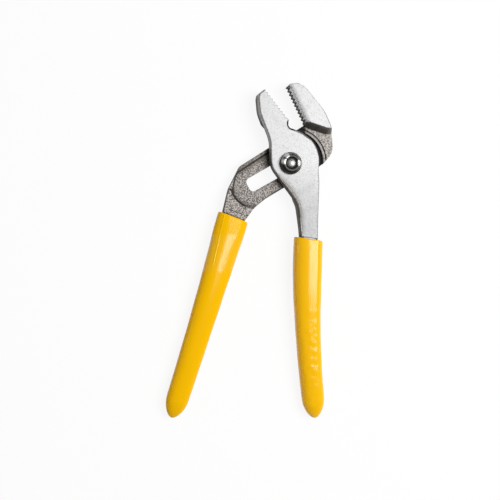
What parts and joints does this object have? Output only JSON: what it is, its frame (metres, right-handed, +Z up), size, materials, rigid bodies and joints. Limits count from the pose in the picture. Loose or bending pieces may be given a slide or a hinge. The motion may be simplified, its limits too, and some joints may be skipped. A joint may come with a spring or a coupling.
{
  "type": "water pump pliers",
  "caption": "Adjustable groove-joint pliers with angled toothed jaws, a slotted lap joint with a round pivot nut, and long dipped grips for turning pipe fittings and nuts.",
  "frame": {"origin": "centre of the pivot bolt head's flat outer face, on the pivot axis, with the tool lying on its back", "axes": "+Y towards the jaws along the tool, +X across the tool towards the jaw of the slotted lever, +Z up out of the nut, along the pivot axis"},
  "size_m": [0.1278, 0.2552, 0.0225],
  "materials": {
    "back_lever": "forged and ground",
    "front_lever": "forged and ground",
    "pivot_bolt": "polished",
    "pivot_nut": "polished",
    "left_grip": "glossy dipped vinyl",
    "right_grip": "glossy dipped vinyl"
  },
  "bodies": {
    "back": {"back_lever": "back_lever", "left_grip": "left_grip"},
    "pivot": {"pivot_bolt": "pivot_bolt", "pivot_nut": "pivot_nut"},
    "front": {"front_lever": "front_lever", "right_grip": "right_grip"}
  },
  "joints": [
    {"name": "setting_slide", "type": "slide", "parent": "back", "child": "pivot", "axis": [0.8686, 0.4955, 0], "range_m": [-0.026, 0.0052]},
    {"name": "handle_swing", "type": "hinge", "parent": "pivot", "child": "front", "pos_m": [0, 0, 0], "axis": [0, 0, 1], "range_deg": [-12.5, 45]}
  ]
}
